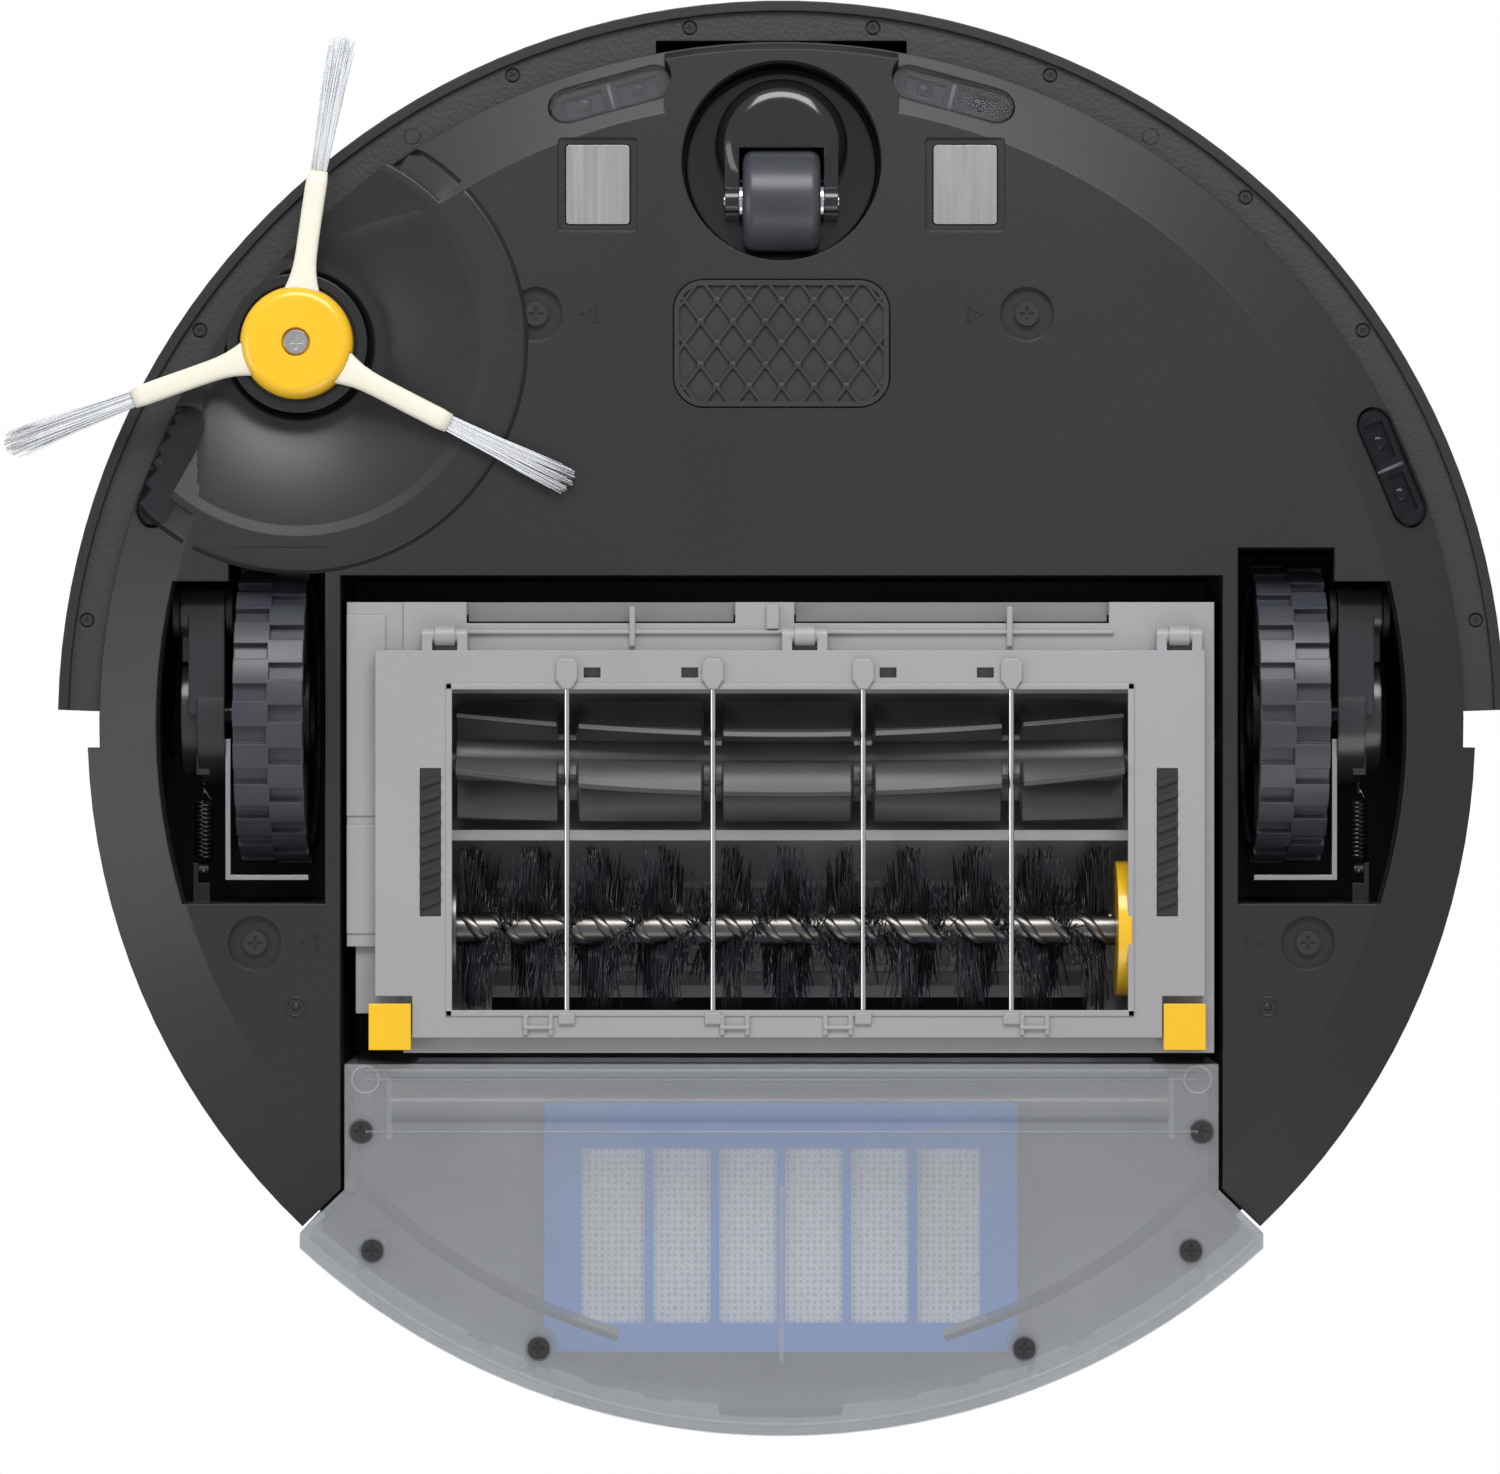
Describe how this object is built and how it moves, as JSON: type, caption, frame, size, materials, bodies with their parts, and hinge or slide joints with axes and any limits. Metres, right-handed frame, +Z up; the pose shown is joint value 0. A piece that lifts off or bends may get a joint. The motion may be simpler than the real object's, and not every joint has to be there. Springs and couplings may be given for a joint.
{
  "type": "robot vacuum",
  "caption": "Round robot vacuum in charcoal plastic with a sprung bumper, drive wheels, caster, side brush, floor brushes under a wire guard, and a clear slide-out bin.",
  "frame": {"origin": "on the floor, midway between the two drive wheels and on the swivel line of the body's round outline", "axes": "+Z up, -Y to the front (bumper and caster), +Y to the rear (bin), +X to the robot's left seen from above with the front away, so the side brush is at -X"},
  "size_m": [0.3596, 0.3429, 0.092],
  "materials": {
    "charcoal_shell": "satin",
    "black_shell": "matte",
    "gloss_black": "gloss",
    "grey_frame": "satin",
    "yellow_plastic": "satin",
    "cream_plastic": "satin",
    "clear_lens": "gloss",
    "smoked_clear": "gloss",
    "contact_steel": "brushed",
    "bright_steel": "polished",
    "dark_steel": "satin",
    "black_screw": "satin",
    "tread_rubber": "satin",
    "pad_rubber": "matte",
    "flap_rubber": "satin",
    "black_bristle": "satin",
    "white_bristle": "satin",
    "filter_blue": "satin",
    "filter_paper": "matte",
    "battery_wrap": "satin",
    "board_green": "satin",
    "button_silver": "satin"
  },
  "bodies": {
    "chassis": {"bottom_cover": "charcoal_shell", "chassis_tub": "black_shell", "top_cover": "charcoal_shell", "top_panel": "gloss_black", "texture_pad": "pad_rubber", "cover_screws": "black_screw", "charge_contacts": "contact_steel", "cliff_windows": "clear_lens", "cliff_sensors": "gloss_black", "battery": "battery_wrap", "main_board": "board_green", "side_brush_gearbox": "gloss_black", "left_spring": "dark_steel", "right_spring": "dark_steel"},
    "bumper": {"bumper_shell": "charcoal_shell", "bumper_rim": "charcoal_shell", "bumper_screws": "black_screw", "bumper_window": "gloss_black", "sensor_dome": "gloss_black"},
    "left_arm": {"left_gearbox": "gloss_black", "left_bracket": "contact_steel"},
    "left_wheel": {"left_rim": "black_shell", "left_tyre": "tread_rubber"},
    "right_arm": {"right_gearbox": "gloss_black", "right_bracket": "contact_steel"},
    "right_wheel": {"right_rim": "black_shell", "right_tyre": "tread_rubber"},
    "caster_swivel": {"caster_fork": "gloss_black"},
    "caster_roller": {"caster_wheel": "tread_rubber", "caster_axle": "bright_steel"},
    "side_brush": {"side_brush_hub": "yellow_plastic", "side_brush_arms": "cream_plastic", "side_brush_bristles": "white_bristle", "side_brush_screw": "bright_steel"},
    "cleaning_head": {"head_frame": "grey_frame", "head_gearbox": "grey_frame", "head_motor": "dark_steel"},
    "guard": {"brush_guard": "grey_frame", "guard_wires": "bright_steel", "guard_pads": "pad_rubber"},
    "latch_left": {"left_latch": "yellow_plastic"},
    "latch_right": {"right_latch": "yellow_plastic"},
    "bristle_brush": {"bristle_core": "dark_steel", "bristle_tufts": "black_bristle", "bristle_end_cap": "yellow_plastic"},
    "flapper_brush": {"flapper_core": "flap_rubber", "flapper_blades": "flap_rubber"},
    "dust_bin": {"bin_tub": "smoked_clear", "bin_cover": "smoked_clear", "bin_screws": "black_screw", "filter_frame": "filter_blue", "filter_media": "filter_paper", "bin_fan": "black_shell"},
    "bin_release": {"bin_button": "black_shell"},
    "carry_handle": {"handle": "charcoal_shell"},
    "button_clean": {"clean_button": "button_silver"},
    "button_spot": {"spot_button": "button_silver"},
    "button_dock": {"dock_button": "button_silver"}
  },
  "joints": [
    {"name": "bumper_press", "type": "slide", "parent": "chassis", "child": "bumper", "axis": [0, 1, 0], "range_m": [0, 0.004], "stiffness_N_per_m": 900, "springref_m": -0.001},
    {"name": "left_wheel_drop", "type": "hinge", "parent": "chassis", "child": "left_arm", "pos_m": [-0.139, -0.027, 0.025], "axis": [-1, 0, 0], "range_deg": [0, 30], "stiffness_Nm_per_rad": 0.25, "springref_deg": 51.57, "deforming": ["left_spring"]},
    {"name": "right_wheel_drop", "type": "hinge", "parent": "chassis", "child": "right_arm", "pos_m": [0.139, -0.027, 0.025], "axis": [-1, 0, 0], "range_deg": [0, 30], "stiffness_Nm_per_rad": 0.25, "springref_deg": 51.57, "deforming": ["right_spring"]},
    {"name": "left_wheel_spin", "type": "hinge", "parent": "left_arm", "child": "left_wheel", "pos_m": [-0.12175, -0.0024, 0.036], "axis": [1, 0, 0], "continuous": true},
    {"name": "right_wheel_spin", "type": "hinge", "parent": "right_arm", "child": "right_wheel", "pos_m": [0.12175, -0.0024, 0.036], "axis": [1, 0, 0], "continuous": true},
    {"name": "caster_swivel_turn", "type": "hinge", "parent": "chassis", "child": "caster_swivel", "pos_m": [0, -0.134, 0.031], "axis": [0, 0, 1], "continuous": true},
    {"name": "caster_roll", "type": "hinge", "parent": "caster_swivel", "child": "caster_roller", "pos_m": [0, -0.1246, 0.012], "axis": [1, 0, 0], "continuous": true},
    {"name": "side_brush_spin", "type": "hinge", "parent": "chassis", "child": "side_brush", "pos_m": [-0.1152, -0.0906, 0.006], "axis": [0, 0, 1], "continuous": true, "deforming": ["side_brush_bristles"]},
    {"name": "head_float", "type": "hinge", "parent": "chassis", "child": "cleaning_head", "pos_m": [0, 0.005, 0.038], "axis": [1, 0, 0], "range_deg": [0, 2.5]},
    {"name": "guard_open", "type": "hinge", "parent": "cleaning_head", "child": "guard", "pos_m": [0.0055, -0.021, 0.0076], "axis": [-1, 0, 0], "range_deg": [0, 90]},
    {"name": "left_latch_slide", "type": "slide", "parent": "guard", "child": "latch_left", "axis": [0, -1, 0], "range_m": [0, 0.0015], "stiffness_N_per_m": 300},
    {"name": "right_latch_slide", "type": "slide", "parent": "guard", "child": "latch_right", "axis": [0, -1, 0], "range_m": [0, 0.0015], "stiffness_N_per_m": 300},
    {"name": "bristle_spin", "type": "hinge", "parent": "cleaning_head", "child": "bristle_brush", "pos_m": [0.00125, 0.049, 0.0213], "axis": [1, 0, 0], "continuous": true},
    {"name": "flapper_spin", "type": "hinge", "parent": "cleaning_head", "child": "flapper_brush", "pos_m": [0.00125, 0.009, 0.0178], "axis": [1, 0, 0], "continuous": true},
    {"name": "bin_slide", "type": "slide", "parent": "chassis", "child": "dust_bin", "axis": [0, 1, 0], "range_m": [0, 0.095]},
    {"name": "bin_release_press", "type": "slide", "parent": "dust_bin", "child": "bin_release", "axis": [0, -1, 0], "range_m": [0, 0.0015], "stiffness_N_per_m": 600},
    {"name": "handle_lift", "type": "hinge", "parent": "chassis", "child": "carry_handle", "pos_m": [0, 0.008, 0.0885], "axis": [1, 0, 0], "range_deg": [0, 85]},
    {"name": "clean_press", "type": "slide", "parent": "chassis", "child": "button_clean", "axis": [0, 0, -1], "range_m": [0, 0.001], "stiffness_N_per_m": 600},
    {"name": "spot_press", "type": "slide", "parent": "chassis", "child": "button_spot", "axis": [0, 0, -1], "range_m": [0, 0.001], "stiffness_N_per_m": 600},
    {"name": "dock_press", "type": "slide", "parent": "chassis", "child": "button_dock", "axis": [0, 0, -1], "range_m": [0, 0.001], "stiffness_N_per_m": 600}
  ],
  "couplings": [
    {"joint": "flapper_spin", "follows": "bristle_spin", "ratio": -1}
  ]
}
